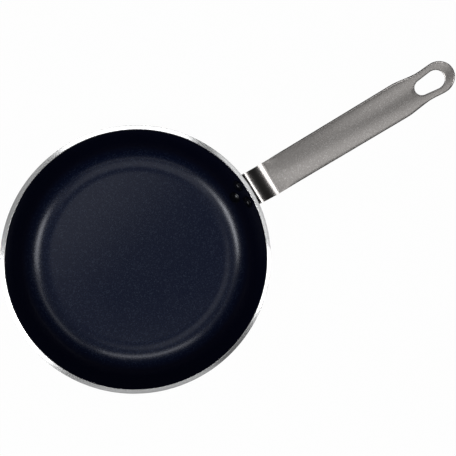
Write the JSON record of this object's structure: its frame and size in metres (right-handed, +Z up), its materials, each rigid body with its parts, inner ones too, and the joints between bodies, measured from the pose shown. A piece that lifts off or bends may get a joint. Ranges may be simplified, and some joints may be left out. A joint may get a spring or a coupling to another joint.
{
  "type": "frying pan",
  "caption": "Round flat-floored frying pan with a dark nonstick lining, a bare metal rim and a riveted steel strip handle that ends in a hanging slot.",
  "frame": {"origin": "centre of the flat base, on the surface that the pan stands on", "axes": "+X along the handle away from the pan, +Z up"},
  "size_m": [0.4287, 0.24, 0.1145],
  "materials": {
    "bare_aluminium": "turned, bare",
    "nonstick_film": "semi-matt, finely speckled",
    "satin_steel": "satin, blasted"
  },
  "bodies": {
    "root": {"pan_body": "bare_aluminium", "nonstick_coating": "nonstick_film", "handle": "satin_steel", "rivet_lower": "bare_aluminium", "rivet_upper_left": "bare_aluminium", "rivet_upper_right": "bare_aluminium", "rivet_coating_lower": "nonstick_film", "rivet_coating_upper_left": "nonstick_film", "rivet_coating_upper_right": "nonstick_film"}
  },
  "joints": []
}
